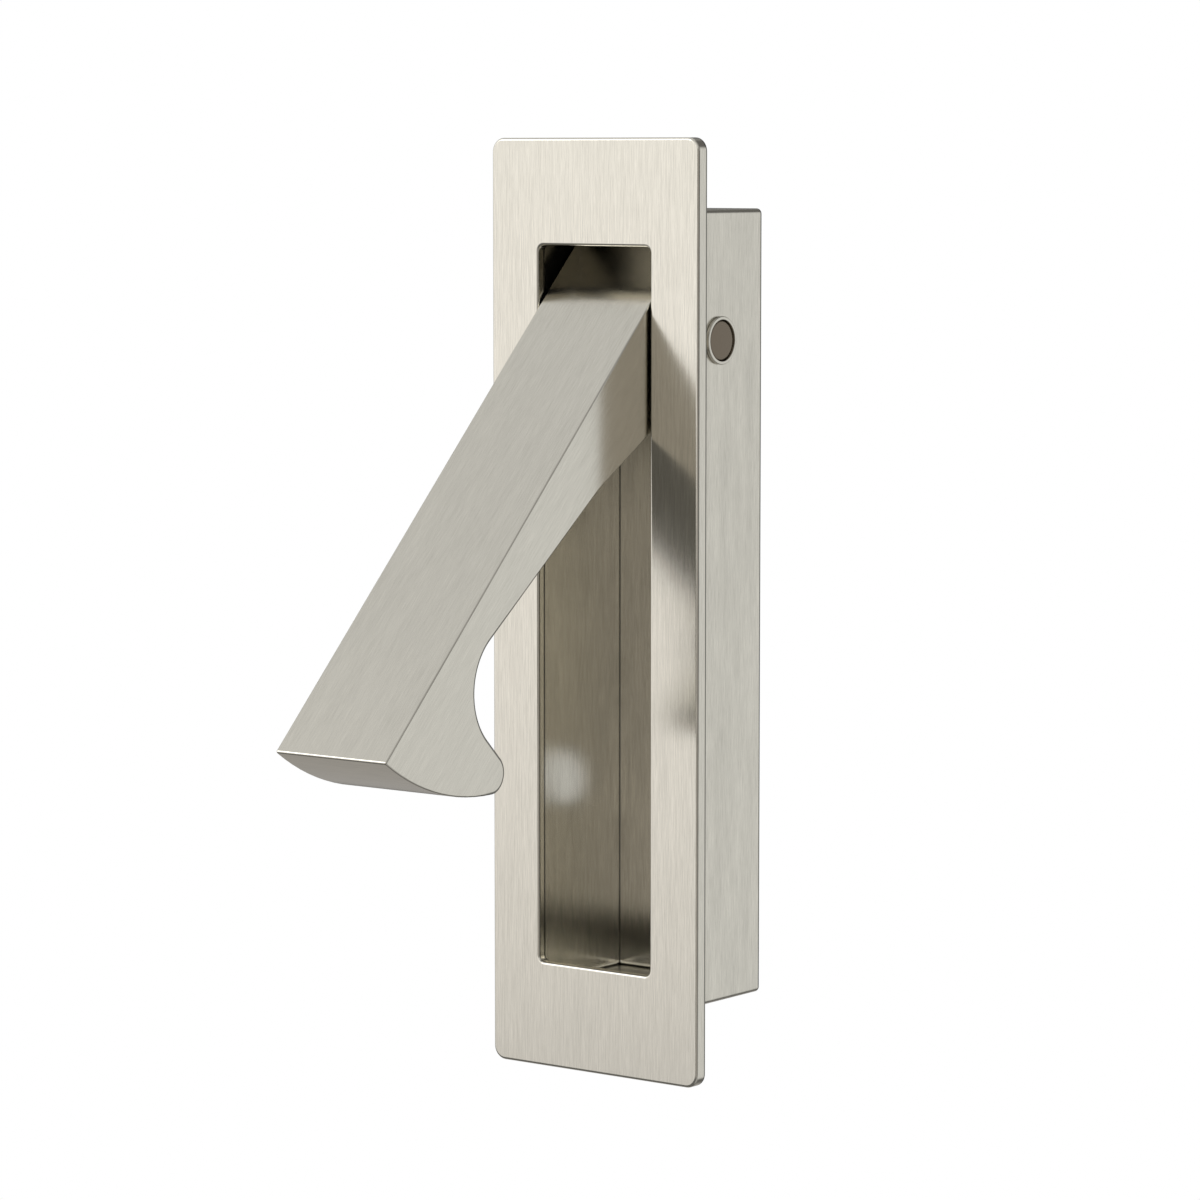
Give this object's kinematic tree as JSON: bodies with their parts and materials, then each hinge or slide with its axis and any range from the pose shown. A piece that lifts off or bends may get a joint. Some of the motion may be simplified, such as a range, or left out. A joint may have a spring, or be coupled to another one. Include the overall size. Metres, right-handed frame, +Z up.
{
  "type": "edge pull",
  "caption": "Folding edge pull for a sliding door: a slotted faceplate and housing let into the door's edge, with a lever that swings out and hooks a finger.",
  "frame": {"origin": "middle of the faceplate's back, in the mouth of the mortise in the door's edge", "axes": "+Z up along the faceplate, +Y into the door, +X to the right seen from in front of the door's edge"},
  "size_m": [0.028, 0.061, 0.102],
  "materials": {
    "faceplate": "satin nickel, brushed upright",
    "housing": "satin nickel, brushed upright",
    "lever": "satin nickel, brushed along the lever",
    "pivot_pin": "turned",
    "bush": "turned, satin nickel",
    "disc_spring": "spring steel",
    "thrust_washer": "plain polymer"
  },
  "bodies": {
    "case": {"faceplate": "faceplate", "housing": "housing", "pivot_pin": "pivot_pin", "bush_left": "bush", "bush_right": "bush", "disc_spring_left": "disc_spring", "disc_spring_right": "disc_spring", "thrust_washer_left": "thrust_washer", "thrust_washer_right": "thrust_washer"},
    "lever": {"lever": "lever"}
  },
  "joints": [
    {"name": "lever_pivot", "type": "hinge", "parent": "case", "child": "lever", "pos_m": [0, 0.0079, 0.0292], "axis": [1, 0, 0], "range_deg": [0, 44.5]}
  ]
}
